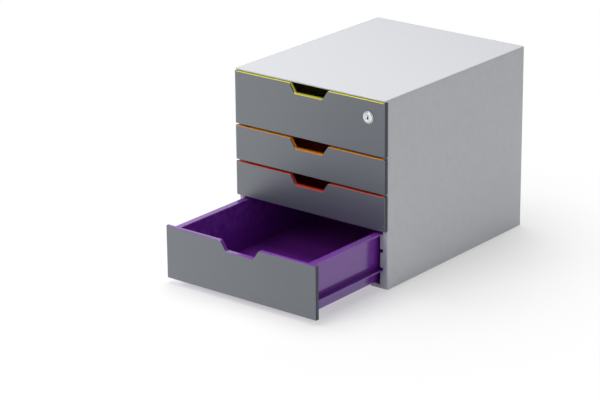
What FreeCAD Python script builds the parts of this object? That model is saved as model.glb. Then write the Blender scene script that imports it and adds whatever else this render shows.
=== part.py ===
import FreeCAD, Part
import math
import os

from FreeCAD import Vector

# Desktop file drawer: a box with four drawers on slotted rails, with the bottom drawer pulled out.
# Millimetres. X is to the right, Y to the back and Z up. The origin lies on the table, under the middle
# of the box as it stands with its bottom drawer open.

os.makedirs("parts", exist_ok=True)

# Overall sizes
box_width = 280.0
box_depth = 356.0
box_height = 292.0
drawer_names = ["yellow", "orange", "red", "purple"]
drawer_modules = {"yellow": 3, "orange": 2, "red": 2, "purple": 3}
bottom_drawer_pull = 162.0
depth_kept_inside = 96.0

# Casing
top_thick = 2.5
top_gap = 1.5
skin_thick = 2.6
side_width = 9.0
return_thick = 3.0
rib_thick = 2.4
side_rib_count = 5
top_rib_depth = 1.6
top_rib_shares = [-0.6, -0.3, 0.0, 0.3, 0.6]
top_rib_start = 30.0
lip_setback = 1.5
lip_corner_radius = 2.0
side_corner_radius = 3.0
back_corner_radius = 3.0
top_edge_radius = 1.4
back_thick = 2.5
back_inset = 1.0
back_field_border = 14.0
back_field_depth = 0.8
back_field_radius = 8.0

# Base and feet
base_height = 5.5
base_thick = 2.0
base_skirt = 2.5
base_clear = 1.0
base_rib_count = 3
foot_length = 26.0
foot_width = 15.0
foot_corner = 4.0
foot_bevel = 0.5
foot_thick = 3.0
foot_reach = 1.5
foot_play = 0.2
foot_boss_wall = 2.6
foot_inset_x = 24.0
foot_inset_y = 28.0

# Rails
rail_setback = 0.8
rail_wall = 1.6
slot_height = 5.5
slot_above_line = 1.0
slot_depth = 5.0
slot_floor_gap = 0.6
rail_cap = 1.6
stop_distance = 20.0
stop_length = 3.0
stop_height = 1.8

# Drawer fronts
reveal = 3.5
front_thick = 6.4
front_gap = 0.6
skin_front = 2.2
skin_return = 3.0
front_edge_radius = 1.8
front_lap = 0.6
grip_top_half = 36.0
grip_bottom_half = 26.0
grip_depth = 15.0
grip_inner_radius = 3.5
grip_outer_radius = 3.0
grip_rim_reach = 2.4
grip_rim_thick = 2.4
grip_rim_bevel = 0.6

# Trays
tray_wall = 2.0
tray_floor = 2.0
tray_side_gap = 4.3
tray_under_gap = 0.3
tray_rear_gap = 12.5
draft_share = 0.024
tray_corner_radius = 1.5
flange_thick = 2.4
flange_rest = 0.3
rim_back = 3.0
rim_corner_radius = 5.0
runner_short = 2.0
runner_lead = 6.0
nib_height = 1.4
nib_length = 4.0
nib_clear = 0.3
nib_width = 4.0
wall_bottom_cover = 0.8

# Lock
lock_inset_x = 30.0
lock_inset_z = 25.5
ring_radius = 9.5
ring_height = 1.0
bezel_radius = 7.6
bezel_height = 0.8
barrel_radius = 7.4
barrel_flat_half = 6.2
barrel_length = 22.0
barrel_play = 0.15
clip_thick = 1.2
clip_width = 16.6
clip_leg = 15.4
clip_groove_radius = 6.4
clip_play = 0.1
clip_edge_radius = 3.0
plug_radius = 5.0
plug_play = 0.08
plug_recess = 0.5
plug_proud = 0.3
keyway_width = 1.8
keyway_height = 6.4
keyway_depth = 9.0
tang_size = 5.0
tang_play = 0.05
cam_thick = 2.0
cam_width = 9.0
cam_top_clear = 2.5
cam_nose_width = 7.0
screw_head_radius = 3.4
screw_head_height = 1.8
screw_shank_radius = 1.5
screw_shank_length = 8.0
screw_play = 0.1
strike_width = 18.0
strike_thick = 1.2
strike_clear = 0.4
strike_overlap = 3.5
strike_leg = 12.0

# One overrun serves every cut that has to pass clean through a face
over = 1.0

# Places worked out from the sizes above
half_width = box_width / 2
stack_bottom = foot_reach + base_height + base_clear - reveal
slab_bottom = box_height - top_thick
stack_top = slab_bottom - top_gap
module = (stack_top - stack_bottom) / sum(drawer_modules.values())
front_y = bottom_drawer_pull - (box_depth + bottom_drawer_pull) / 2
back_y = front_y + box_depth
drawer_travel = box_depth - depth_kept_inside
side_front_y = front_y + front_thick + front_gap
side_inner_x = half_width - side_width
skin_inner_x = half_width - skin_thick
base_top = foot_reach + base_height
back_panel_front_y = back_y - back_inset - back_thick
rail_front_y = side_front_y + rail_setback
rail_face_x = side_inner_x - slot_depth - slot_floor_gap / 2
slot_floor_x = rail_face_x + slot_depth
rail_outer_x = slot_floor_x + rail_wall
tray_top_x = rail_face_x - tray_side_gap
flange_x = slot_floor_x - slot_floor_gap
tray_back_y = back_panel_front_y - tray_rear_gap
stop_back_y = rail_front_y + stop_distance + stop_length
lock_x = half_width - lock_inset_x
lock_z = stack_top - lock_inset_z


def block(x_low, x_high, y_low, y_high, z_low, z_high):
    """A plain block between two corners."""
    return Part.makeBox(x_high - x_low, y_high - y_low, z_high - z_low, Vector(x_low, y_low, z_low))


def flat_face(corners):
    """A flat face round a few corners."""
    return Part.Face(Part.makePolygon(corners + corners[:1]))


def prism_along_y(outline, y_low, y_high):
    """A closed outline of (x, z) points drawn back from y_low to y_high."""
    face = flat_face([Vector(x, y_low, z) for x, z in outline])
    return face.extrude(Vector(0, y_high - y_low, 0))


def cylinder_along_y(radius, y_low, y_high, x, z):
    """A round bar whose axis runs to the back."""
    return Part.makeCylinder(radius, y_high - y_low, Vector(x, y_low, z), Vector(0, 1, 0))


def mirrored(shape):
    """The same piece for the other side of the box."""
    return shape.mirror(Vector(0, 0, 0), Vector(1, 0, 0))


def runs_along(edge, direction):
    """True for a straight edge that is parallel to a direction."""
    if edge.Degenerated or not isinstance(edge.Curve, Part.Line):
        return False
    return abs(abs(edge.Curve.Direction.dot(direction)) - 1) < 1e-6


def rounded(shape, radius, wanted):
    """The shape with a radius on each edge that the test wants."""
    edges = [edge for edge in shape.Edges if wanted(edge)]
    return shape.makeFillet(radius, edges)


def chamfered(shape, width, wanted):
    """The shape with a flat bevel on each edge that the test wants."""
    edges = [edge for edge in shape.Edges if wanted(edge)]
    return shape.makeChamfer(width, edges)


def close(value, target):
    """True where two lengths are the same."""
    return abs(value - target) < 1e-4


def middle(edge):
    """The middle of an edge."""
    return edge.CenterOfMass


def z_of_line(index):
    """The height of one of the lines that divide the stack into modules."""
    return stack_bottom + module * index


def write(name, shape):
    """Save one piece as a STEP file."""
    shape.exportStep("parts/" + name + ".step")
    print(name, "volume", round(shape.Volume / 1000, 2), "cm3, valid", shape.isValid())


def rounded_plan(x_half, y_low, y_high, front_radius, rear_radius, z_low, z_high):
    """A slab with rounded vertical corners at the front and at the rear."""
    slab = block(-x_half, x_half, y_low, y_high, z_low, z_high)
    upright = Vector(0, 0, 1)
    slab = rounded(slab, front_radius, lambda e: runs_along(e, upright) and close(middle(e).y, y_low))
    return rounded(slab, rear_radius, lambda e: runs_along(e, upright) and close(middle(e).y, y_high))


def top_slab():
    """The top, which runs forward over the drawer fronts as a thin lip."""
    lip_y = front_y + lip_setback
    slab = rounded_plan(half_width, lip_y, back_y, lip_corner_radius, back_corner_radius,
                        slab_bottom, box_height)
    slab = rounded(slab, top_edge_radius, lambda e: close(middle(e).z, box_height))
    rib_low = slab_bottom - top_rib_depth
    ribs = []
    for share in top_rib_shares:
        x = share * half_width
        ribs.append(block(x - rib_thick / 2, x + rib_thick / 2, side_front_y + top_rib_start,
                          back_panel_front_y, rib_low, slab_bottom))
    return slab.fuse(ribs)


def side_wall():
    """The right side: an outer skin with a front return, a rear return and upright ribs behind the rail."""
    wall = block(skin_inner_x, half_width, side_front_y, back_y, foot_reach, slab_bottom)
    upright = Vector(0, 0, 1)
    wall = rounded(
        wall, side_corner_radius - top_edge_radius / 2,
        lambda e: runs_along(e, upright) and close(middle(e).x, half_width)
        and close(middle(e).y, side_front_y))
    front_return = block(rail_outer_x, skin_inner_x, side_front_y, side_front_y + return_thick,
                         base_top, slab_bottom)
    first = rail_front_y + rib_thick
    last = back_panel_front_y - rib_thick
    step = (last - first) / (side_rib_count - 1)
    ribs = []
    for index in range(side_rib_count):
        y = first + step * index
        ribs.append(block(rail_outer_x, skin_inner_x, y - rib_thick / 2, y + rib_thick / 2,
                          base_top, slab_bottom))
    return wall.fuse([front_return] + ribs)


def housing_shell():
    """Top and both side walls as one moulding."""
    right = side_wall()
    shell = top_slab().fuse([right, mirrored(right)])
    return shell.removeSplitter()


def foot_places():
    """The four feet, by name, with the middle of each in plan."""
    x = side_inner_x - foot_inset_x
    near = side_front_y + foot_inset_y
    far = back_panel_front_y - foot_inset_y
    return {"front_left": (-x, near), "front_right": (x, near),
            "back_left": (-x, far), "back_right": (x, far)}


def base_plate():
    """The floor of the casing: a thin plate on a skirt and cross ribs, with a socket for each foot."""
    plate = block(-skin_inner_x, skin_inner_x, side_front_y, back_panel_front_y, foot_reach, base_top)
    hollow_x = skin_inner_x - base_skirt
    hollow = block(-hollow_x, hollow_x, side_front_y + base_skirt,
                   back_panel_front_y - base_skirt, foot_reach - over, base_top - base_thick)
    plate = plate.cut(hollow)
    step = (back_panel_front_y - side_front_y) / (base_rib_count + 1)
    ribs = []
    for index in range(base_rib_count):
        y = side_front_y + step * (index + 1)
        ribs.append(block(-hollow_x, hollow_x, y - rib_thick / 2, y + rib_thick / 2,
                          foot_reach, base_top - base_thick))
    bosses = []
    sockets = []
    for x, y in foot_places().values():
        bosses.append(pad(x, y, foot_reach, base_top - base_thick, foot_play + foot_boss_wall))
        sockets.append(pad(x, y, foot_reach - over, foot_thick, foot_play))
    plate = plate.fuse(ribs + bosses).cut(sockets)
    return plate.removeSplitter()


def pad(x, y, z_low, z_high, grow):
    """The oblong plan of a foot, larger by the growth on each side, between two heights."""
    x_half = foot_length / 2 + grow
    y_half = foot_width / 2 + grow
    solid = block(x - x_half, x + x_half, y - y_half, y + y_half, z_low, z_high)
    return chamfered(solid, foot_corner, lambda e: runs_along(e, Vector(0, 0, 1)))


def foot(x, y):
    """A soft oblong pad that sits in its socket and stands a little proud of the base."""
    return chamfered(pad(x, y, 0, foot_thick, 0), foot_bevel, lambda e: close(middle(e).z, 0))


def back_panel():
    """The rear cover, set in a little between the side walls, with a shallow rounded field outside."""
    panel = block(-skin_inner_x, skin_inner_x, back_panel_front_y, back_panel_front_y + back_thick,
                  foot_reach, slab_bottom)
    field = block(-skin_inner_x + back_field_border, skin_inner_x - back_field_border,
                  back_panel_front_y + back_thick - back_field_depth, back_y,
                  foot_reach + back_field_border, slab_bottom - back_field_border)
    field = rounded(field, back_field_radius, lambda e: runs_along(e, Vector(0, 1, 0)))
    return panel.cut(field)


def slot_bounds(index):
    """The lower and upper edge of the slot at one module line."""
    high = z_of_line(index) + slot_above_line
    return high - slot_height, high


def rail_panel():
    """The right rail: one even wall folded in and out, with a slot at each module line."""
    count = sum(drawer_modules.values())
    inner = [(rail_face_x, base_top)]
    outer = []
    wall = rail_wall
    for index in range(1, count + 1):
        low, high = slot_bounds(index)
        inner.append((rail_face_x, low))
        inner.append((slot_floor_x, low))
        outer.append((rail_face_x + wall, low - wall))
        outer.append((rail_outer_x, low - wall))
        if index < count:
            inner.append((slot_floor_x, high))
            inner.append((rail_face_x, high))
            outer.append((rail_outer_x, high + wall))
            outer.append((rail_face_x + wall, high + wall))
    inner.append((slot_floor_x, slab_bottom))
    outer.append((rail_outer_x, slab_bottom))
    foot_end = [(rail_face_x + wall, base_top + wall), (rail_outer_x, base_top + wall),
                (rail_outer_x, base_top)]
    rail = prism_along_y(inner + outer[::-1] + foot_end, rail_front_y, back_panel_front_y)
    cap = prism_along_y(inner + [(rail_outer_x, slab_bottom), (rail_outer_x, base_top)],
                        rail_front_y, rail_front_y + rail_cap)
    stops = []
    for index in range(1, count + 1):
        high = slot_bounds(index)[1]
        stops.append(block(rail_face_x, slot_floor_x, stop_back_y - stop_length, stop_back_y,
                           high - stop_height, min(high + wall, slab_bottom)))
    return rail.fuse([cap] + stops).removeSplitter()


def lock_strike():
    """A bent steel catch under the top: a flat leg against the slab and a short upright edge."""
    cam_top = slab_bottom - cam_top_clear
    edge_back_y = front_y + cam_front() - strike_clear
    x_low = lock_x - strike_width / 2
    x_high = lock_x + strike_width / 2
    edge = block(x_low, x_high, edge_back_y - strike_thick, edge_back_y,
                 cam_top - strike_overlap, slab_bottom)
    leg = block(x_low, x_high, edge_back_y - strike_leg, edge_back_y,
                slab_bottom - strike_thick, slab_bottom)
    catch = edge.fuse(leg).removeSplitter()
    along_x = Vector(1, 0, 0)
    return rounded(catch, strike_thick / 2,
                   lambda e: runs_along(e, along_x) and close(middle(e).y, edge_back_y)
                   and close(middle(e).z, slab_bottom))


def flange_top(line):
    """The top of a flange that rides in the slot at a module line."""
    return line + slot_above_line - slot_height + flange_rest + flange_thick


def grip_slope():
    """How far the cut-out's sloping sides move outwards for each millimetre of height."""
    return (grip_top_half - grip_bottom_half) / grip_depth


def grip_cutter(edge_z, narrow, y_low, y_high):
    """The finger cut-out under an edge: sloping sides, rounded lower corners and rounded shoulders."""
    top_half = grip_top_half - narrow
    low_half = grip_bottom_half - narrow
    wing = top_half + grip_depth
    floor_z = edge_z - grip_depth
    outline = [(-wing, edge_z + over), (-wing, edge_z), (-top_half, edge_z), (-low_half, floor_z),
               (low_half, floor_z), (top_half, edge_z), (wing, edge_z), (wing, edge_z + over)]
    cutter = prism_along_y(outline, y_low, y_high)
    along_y = Vector(0, 1, 0)
    cutter = rounded(cutter, grip_inner_radius,
                     lambda e: runs_along(e, along_y) and close(middle(e).z, floor_z))
    return rounded(cutter, grip_outer_radius,
                   lambda e: runs_along(e, along_y) and close(middle(e).z, edge_z)
                   and close(abs(middle(e).x), top_half))


def grip_rim(top, y):
    """The rim behind a front that follows the cut-out's sides and floor, for the fingers to pull."""
    side_length = math.hypot(grip_depth, grip_top_half - grip_bottom_half)
    out = grip_rim_thick * side_length / grip_depth
    low_half = grip_bottom_half + out - grip_rim_thick * grip_slope()
    high_z = top - grip_outer_radius
    high_half = grip_top_half + out - (top - high_z) * grip_slope()
    low_z = top - grip_depth - grip_rim_thick
    outline = [(-high_half, high_z), (-low_half, low_z), (low_half, low_z), (high_half, high_z)]
    rim = prism_along_y(outline, y, y + grip_rim_reach)
    rim = rim.cut(grip_cutter(top, 0, y - over, y + grip_rim_reach + over))
    return chamfered(rim, grip_rim_bevel, lambda e: close(middle(e).y, y + grip_rim_reach))


def cap_opening(top):
    """What is left out of a grey cap at its top and cut-out, where the coloured wall laps over it."""
    half = half_width - skin_return
    edge_z = top - front_lap
    band = block(-half, half, front_y - over, front_y + skin_front + over, edge_z, top + over)
    narrow = front_lap * grip_slope()
    return band.fuse(grip_cutter(edge_z, narrow, front_y - over, front_y + front_thick + over))


def drawer_lines(name):
    """The module lines under and over a drawer."""
    below = drawer_names[drawer_names.index(name) + 1:]
    low = sum(drawer_modules[other] for other in below)
    return low, low + drawer_modules[name]


def drawer_shift(name):
    """How far forward a drawer stands in the stored pose."""
    return -bottom_drawer_pull if name == drawer_names[-1] else 0


def barrel_hole(y_low, y_high, clear):
    """The round hole with two flats that the lock's barrel fills."""
    hole = cylinder_along_y(barrel_radius + clear, y_low, y_high, lock_x, lock_z)
    flats = block(lock_x - barrel_radius - over, lock_x + barrel_radius + over, y_low, y_high,
                  lock_z - barrel_flat_half - clear, lock_z + barrel_flat_half + clear)
    return hole.common(flats)


def front_panel(name):
    """The grey cap of a drawer front: a thin plate with returned sides and the finger cut-out."""
    low_line, high_line = drawer_lines(name)
    bottom = z_of_line(low_line) + reveal
    top = z_of_line(high_line)
    y = front_y
    cap = block(-half_width, half_width, y, y + front_thick, bottom, top)
    cap = rounded(cap, front_edge_radius,
                  lambda e: runs_along(e, Vector(0, 0, 1)) and close(middle(e).y, y))
    hollow = block(-half_width + skin_return, half_width - skin_return,
                   y + skin_front, y + front_thick + over, bottom - over, top + over)
    cap = cap.cut(hollow).cut(cap_opening(top))
    if name == drawer_names[0]:
        cap = cap.cut(barrel_hole(y - over, y + front_thick + over, barrel_play))
    cap.translate(Vector(0, drawer_shift(name), 0))
    return cap


def wall_lap(top):
    """The coloured wall's thin lap over the upper edge of the cap and the floor of its cut-out."""
    half = half_width - skin_return
    slab = block(-half, half, front_y, front_y + skin_front, top - grip_depth - front_lap, top)
    return slab.common(cap_opening(top))


def drafted_block(half, y_low, y_high, z_low, z_high, inset):
    """A block whose sides and rear lean in by the inset towards the floor."""
    wedge = Part.makeWedge(inset - half, z_low, inset - y_high, -y_high, -half,
                           half - inset, z_high, -y_low, -y_low, half)
    # The wedge is drawn lying down, so it is turned upright
    wedge.rotate(Vector(0, 0, 0), Vector(1, 0, 0), 90)
    return wedge


def tub(half, y_low, y_high, z_low, z_high, radius, round_front):
    """A drafted block with a rounded floor edge and rear corners: the outside or inside of a tray."""
    inset = draft_share * (z_high - z_low)
    body = drafted_block(half, y_low, y_high, z_low, z_high, inset)

    def wanted(edge):
        point = middle(edge)
        on_floor = close(point.z, z_low) and (round_front or not close(point.y, y_low))
        rear_corner = point.y > y_high - inset - over and z_low < point.z < z_high - over
        return on_floor or (rear_corner and abs(point.x) > half - inset - over)

    return rounded(body, radius, wanted)


def side_flange(z_top, y_low, y_high):
    """A flat runner on the right of a tray, with its rear corner cut back to lead into the slot."""
    inner_x = tray_top_x - tray_wall
    corners = [Vector(inner_x, y_low, z_top), Vector(flange_x, y_low, z_top),
               Vector(flange_x, y_high - runner_lead, z_top),
               Vector(flange_x - runner_lead / 2, y_high, z_top), Vector(inner_x, y_high, z_top)]
    return flat_face(corners).extrude(Vector(0, 0, -flange_thick))


def tray(name):
    """One drawer's tray: front wall and lap, drafted tub, rim, runners, stop nibs and the grip's rim."""
    low_line, high_line = drawer_lines(name)
    line = z_of_line(low_line)
    top = z_of_line(high_line)
    rim_top = flange_top(top)
    bottom = line + reveal + tray_under_gap
    wall_back = front_y + front_thick
    inner_top = rim_top + over
    wall = block(-half_width + skin_return, half_width - skin_return, front_y + skin_front, wall_back,
                 line + reveal + wall_bottom_cover, top)
    outside = tub(tray_top_x, wall_back, tray_back_y, bottom, rim_top,
                  tray_corner_radius + tray_wall, False)
    inside = tub(tray_top_x - tray_wall, wall_back, tray_back_y - tray_wall, bottom + tray_floor, inner_top,
                 tray_corner_radius, True)
    rim = rounded_rim(rim_top, wall_back)
    runner_top = flange_top(z_of_line(low_line + 1))
    runner = side_flange(runner_top, wall_back, tray_back_y - runner_short)
    nib_y = stop_back_y + drawer_travel + nib_clear
    nib = block(flange_x - nib_width, flange_x, nib_y, nib_y + nib_length, rim_top, rim_top + nib_height)
    body = wall.fuse([outside, rim, runner, mirrored(runner), nib, mirrored(nib)])
    body = body.cut(inside)
    body = body.fuse([grip_rim(top, wall_back), wall_lap(top)]).removeSplitter()
    body = body.cut(grip_cutter(top, 0, front_y - over, wall_back + over))
    if name == drawer_names[0]:
        body = body.cut(barrel_hole(front_y - over, wall_back + over, barrel_play))
    body.translate(Vector(0, drawer_shift(name), 0))
    return body


def rounded_rim(rim_top, y_low):
    """The flat rim that runs round the sides and the back of a tray."""
    y_high = tray_back_y + rim_back
    rim = block(-flange_x, flange_x, y_low, y_high, rim_top - flange_thick, rim_top)
    return rounded(rim, rim_corner_radius,
                   lambda e: runs_along(e, Vector(0, 0, 1)) and close(middle(e).y, y_high))


def cam_front():
    """Where the cam's front face lies behind the front plane: just clear of the barrel's end."""
    return barrel_length + plug_proud


def lock_barrel():
    """Ring, raised bezel and flatted body, bored for the plug and grooved for its clip."""
    y = front_y
    ring = cylinder_along_y(ring_radius, y - ring_height, y, lock_x, lock_z)
    bezel_front = y - ring_height - bezel_height
    bezel = cylinder_along_y(bezel_radius, bezel_front, y - ring_height, lock_x, lock_z)
    body = barrel_hole(y, y + barrel_length, 0)
    barrel = ring.fuse([bezel, body]).removeSplitter()
    groove_low = y + front_thick
    groove_high = groove_low + clip_thick + clip_play
    groove = cylinder_along_y(barrel_radius + over, groove_low, groove_high, lock_x, lock_z)
    groove = groove.cut(cylinder_along_y(clip_groove_radius, groove_low, groove_high, lock_x, lock_z))
    bore = cylinder_along_y(plug_radius + plug_play, bezel_front - over,
                            y + barrel_length + over, lock_x, lock_z)
    return barrel.cut(groove).cut(bore)


def lock_clip():
    """A flat horseshoe pushed down into the barrel's groove, against the inside of the front."""
    y_low = front_y + front_thick
    y_high = y_low + clip_thick
    gap = clip_groove_radius + clip_play
    plate = block(lock_x - clip_width / 2, lock_x + clip_width / 2, y_low, y_high,
                  lock_z - clip_leg / 2, lock_z + clip_leg / 2)
    plate = rounded(plate, clip_edge_radius,
                    lambda e: runs_along(e, Vector(0, 1, 0)) and middle(e).z > lock_z)
    notch = block(lock_x - gap, lock_x + gap, y_low - over, y_high + over, lock_z - clip_leg, lock_z)
    arch = cylinder_along_y(gap, y_low - over, y_high + over, lock_x, lock_z)
    return plate.cut([notch, arch])


def lock_plug():
    """The turning core, with its keyway upright, a square tang and a hole for the cam's screw."""
    y_low = front_y - ring_height - bezel_height + plug_recess
    y_high = front_y + cam_front()
    core = cylinder_along_y(plug_radius, y_low, y_high, lock_x, lock_z)
    keyway = block(lock_x - keyway_width / 2, lock_x + keyway_width / 2, y_low - over, y_low + keyway_depth,
                   lock_z - keyway_height / 2, lock_z + keyway_height / 2)
    half = tang_size / 2
    tang = block(lock_x - half, lock_x + half, y_high, y_high + cam_thick, lock_z - half, lock_z + half)
    hole = cylinder_along_y(screw_shank_radius + screw_play, y_high + cam_thick - screw_shank_length,
                            y_high + cam_thick + over, lock_x, lock_z)
    return core.cut(keyway).fuse(tang).cut(hole).removeSplitter()


def lock_cam():
    """A steel bar on the tang that points to the middle of the drawer when the lock is open."""
    y_low = front_y + cam_front()
    y_high = y_low + cam_thick
    reach = slab_bottom - cam_top_clear - lock_z
    hub = cylinder_along_y(cam_width / 2, y_low, y_high, lock_x, lock_z)
    outline = [(lock_x, lock_z - cam_width / 2), (lock_x, lock_z + cam_width / 2),
               (lock_x - reach, lock_z + cam_nose_width / 2), (lock_x - reach, lock_z - cam_nose_width / 2)]
    arm = prism_along_y(outline, y_low, y_high)
    cam = hub.fuse(arm).removeSplitter()
    half = tang_size / 2 + tang_play
    seat = block(lock_x - half, lock_x + half, y_low - over, y_high + over, lock_z - half, lock_z + half)
    return cam.cut(seat)


def cam_screw():
    """A pan head screw that holds the cam on the plug."""
    seat_y = front_y + cam_front() + cam_thick
    head = cylinder_along_y(screw_head_radius, seat_y, seat_y + screw_head_height, lock_x, lock_z)
    shank = cylinder_along_y(screw_shank_radius, seat_y - screw_shank_length + over, seat_y, lock_x, lock_z)
    return head.fuse(shank).removeSplitter()


# Casing
write("housing_shell", housing_shell())
write("base_plate", base_plate())
write("back_panel", back_panel())
right_rail = rail_panel()
write("rail_panel_right", right_rail)
write("rail_panel_left", mirrored(right_rail))
for place, (foot_x, foot_y) in foot_places().items():
    write("foot_" + place, foot(foot_x, foot_y))
write("lock_strike", lock_strike())

# Drawers, from the top down
for drawer in drawer_names:
    write("tray_" + drawer, tray(drawer))
    write("front_panel_" + drawer, front_panel(drawer))

# Lock in the top drawer
write("lock_barrel", lock_barrel())
write("lock_clip", lock_clip())
write("lock_plug", lock_plug())
write("lock_cam", lock_cam())
write("cam_screw", cam_screw())
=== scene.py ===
# %% [markdown]
# # A desktop file drawer
# A grey plastic box stands on a pale table. Three of its drawers are shut and the lowest one is pulled out.
# Each drawer is a coloured tray behind a charcoal cap, and a thin line of the tray's colour shows over each cap.
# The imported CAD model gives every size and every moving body, so it is loaded first and nothing in it is moved.

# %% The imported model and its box
import math

import bmesh
import bpy
from mathutils import Matrix, Vector


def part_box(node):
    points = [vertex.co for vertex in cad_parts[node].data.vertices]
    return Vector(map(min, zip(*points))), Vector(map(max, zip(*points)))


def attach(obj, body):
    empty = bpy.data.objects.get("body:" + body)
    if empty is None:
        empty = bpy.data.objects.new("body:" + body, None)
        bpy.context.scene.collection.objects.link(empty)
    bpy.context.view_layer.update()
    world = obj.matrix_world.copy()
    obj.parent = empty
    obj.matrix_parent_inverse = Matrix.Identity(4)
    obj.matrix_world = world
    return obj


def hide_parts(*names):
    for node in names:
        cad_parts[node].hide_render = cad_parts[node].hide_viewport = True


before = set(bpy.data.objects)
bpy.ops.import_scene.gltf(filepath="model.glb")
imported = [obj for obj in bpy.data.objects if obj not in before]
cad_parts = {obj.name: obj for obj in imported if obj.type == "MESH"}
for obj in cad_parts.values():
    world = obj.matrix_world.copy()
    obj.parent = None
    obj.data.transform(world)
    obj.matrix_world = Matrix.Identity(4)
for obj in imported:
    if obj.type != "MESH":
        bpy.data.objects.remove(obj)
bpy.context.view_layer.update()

# %% [markdown]
# ## Camera
# The picture is taken with a long lens from the front right, a little above the box. The numbers come from the
# corners of the box in the picture, so the camera is set by its place, its heading, its dip and a slight roll.

# %% Camera
MM = 0.001
CAMERA_PLACE = Vector((2134.75, -2780.11, 1334.27)) * MM
CAMERA_HEADING = math.radians(38.730)
CAMERA_DIP = math.radians(-19.601)
CAMERA_ROLL = math.radians(-0.538)
LENS_MM = 147.63
SENSOR_MM = 36.0

forward = Vector((-math.sin(CAMERA_HEADING) * math.cos(CAMERA_DIP),
                  math.cos(CAMERA_HEADING) * math.cos(CAMERA_DIP), math.sin(CAMERA_DIP)))
level = Vector((math.cos(CAMERA_HEADING), math.sin(CAMERA_HEADING), 0))
upright = level.cross(forward)
across = level * math.cos(CAMERA_ROLL) + upright * math.sin(CAMERA_ROLL)
upward = upright * math.cos(CAMERA_ROLL) - level * math.sin(CAMERA_ROLL)

camera_data = bpy.data.cameras.new("camera")
camera_data.lens = LENS_MM
camera_data.sensor_width = SENSOR_MM
camera_data.clip_start = 0.1
camera_data.clip_end = 60
camera = bpy.data.objects.new("camera", camera_data)
bpy.context.scene.collection.objects.link(camera)
turn = Matrix((across, upward, -forward)).transposed()
camera.matrix_world = Matrix.Translation(CAMERA_PLACE) @ turn.to_4x4()
bpy.context.scene.camera = camera
bpy.context.scene.view_settings.view_transform = "Standard"
print("camera looks along", [round(v, 3) for v in forward])

# %% [markdown]
# ## Table and light
# A studio table is a plain white surface under large soft boxes. The table keeps the soft shadow near the box, and
# far from it the camera sees plain white. One wide lamp hangs over the box to the left, so that the left wall inside
# the open drawer stays dark. One at the upper front left lights the coloured lines, two low ones fill the front and
# the right side without reaching into the drawer, and one stands behind: its lower edge shows as a faint change of
# tone across the satin top. The world is dim for diffuse light, half bright where it is mirrored and white where the
# camera sees it. What the fronts mirror is the table, which gives them their slow change of tone.


# %% Node helpers
def add_node(tree, kind, inputs=None, **settings):
    """One node with its settings, and with the values of its unlinked sockets."""
    made = tree.nodes.new(kind)
    for key, value in settings.items():
        setattr(made, key, value)
    for socket, value in (inputs or {}).items():
        made.inputs[socket].default_value = value
    return made


def wire(tree, start, start_socket, end, end_socket):
    tree.links.new(start.outputs[start_socket], end.inputs[end_socket])


def fresh_material(name):
    """A material with only its output node."""
    material = bpy.data.materials.new(name)
    material.use_nodes = True
    material.node_tree.nodes.clear()
    output = add_node(material.node_tree, "ShaderNodeOutputMaterial")
    return material, material.node_tree, output


# %% World
WORLD_AMBIENT = 0.07
WORLD_MIRRORED = 0.5
world = bpy.data.worlds.new("studio")
world.use_nodes = True
bpy.context.scene.world = world
sky = world.node_tree
sky.nodes.clear()
path = add_node(sky, "ShaderNodeLightPath")
mirrored_sky = add_node(sky, "ShaderNodeMath", {1: WORLD_MIRRORED}, operation="MULTIPLY")
brightest = add_node(sky, "ShaderNodeMath", operation="MAXIMUM")
seen_through = add_node(sky, "ShaderNodeMath", operation="MAXIMUM")
strength = add_node(sky, "ShaderNodeMath", {1: WORLD_AMBIENT}, operation="MAXIMUM")
backdrop = add_node(sky, "ShaderNodeBackground", {"Color": (1, 1, 1, 1)})
sky_output = add_node(sky, "ShaderNodeOutputWorld")
wire(sky, path, "Is Glossy Ray", mirrored_sky, 0)
wire(sky, path, "Is Camera Ray", brightest, 0)
sky.links.new(mirrored_sky.outputs[0], brightest.inputs[1])
sky.links.new(brightest.outputs[0], seen_through.inputs[0])
wire(sky, path, "Is Transmission Ray", seen_through, 1)
sky.links.new(seen_through.outputs[0], strength.inputs[0])
sky.links.new(strength.outputs[0], backdrop.inputs["Strength"])
sky.links.new(backdrop.outputs[0], sky_output.inputs["Surface"])
print("world", WORLD_AMBIENT, WORLD_MIRRORED)

# %% Table top
TABLE_HALF = 9.0
TABLE_CLEAR_NEAR = 0.2
TABLE_CLEAR_FAR = 0.56
TABLE_MIRRORED = 0.9
bpy.ops.object.select_all(action="DESELECT")
bpy.ops.mesh.primitive_plane_add(size=2 * TABLE_HALF, location=(0, 0, 0))
table = bpy.context.object
table.name = "table_top"
table_paint, tree, output = fresh_material("table_white")
place = add_node(tree, "ShaderNodeTexCoord")
reach = add_node(tree, "ShaderNodeVectorMath", operation="LENGTH")
far_share = add_node(tree, "ShaderNodeMapRange", {"From Min": TABLE_CLEAR_NEAR, "From Max": TABLE_CLEAR_FAR,
                                                  "To Min": 0.44, "To Max": 1.0}, interpolation_type="SMOOTHSTEP")
table_path = add_node(tree, "ShaderNodeLightPath")
seen = add_node(tree, "ShaderNodeMath", operation="MULTIPLY")
mirrored = add_node(tree, "ShaderNodeMath", operation="MAXIMUM")
mirrored_share = add_node(tree, "ShaderNodeMath", {1: TABLE_MIRRORED}, operation="MULTIPLY")
white_share = add_node(tree, "ShaderNodeMath", operation="MAXIMUM")
paint = add_node(tree, "ShaderNodeBsdfDiffuse", {"Color": (0.9, 0.9, 0.9, 1)})
cool_when_mirrored = add_node(tree, "ShaderNodeMix", data_type="RGBA")
cool_when_mirrored.inputs[6].default_value = (0.92, 0.965, 1, 1)
cool_when_mirrored.inputs[7].default_value = (1, 1, 1, 1)
plain_white = add_node(tree, "ShaderNodeEmission", {"Strength": 1})
table_mix = add_node(tree, "ShaderNodeMixShader")
wire(tree, table_path, "Is Camera Ray", cool_when_mirrored, "Factor")
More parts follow.
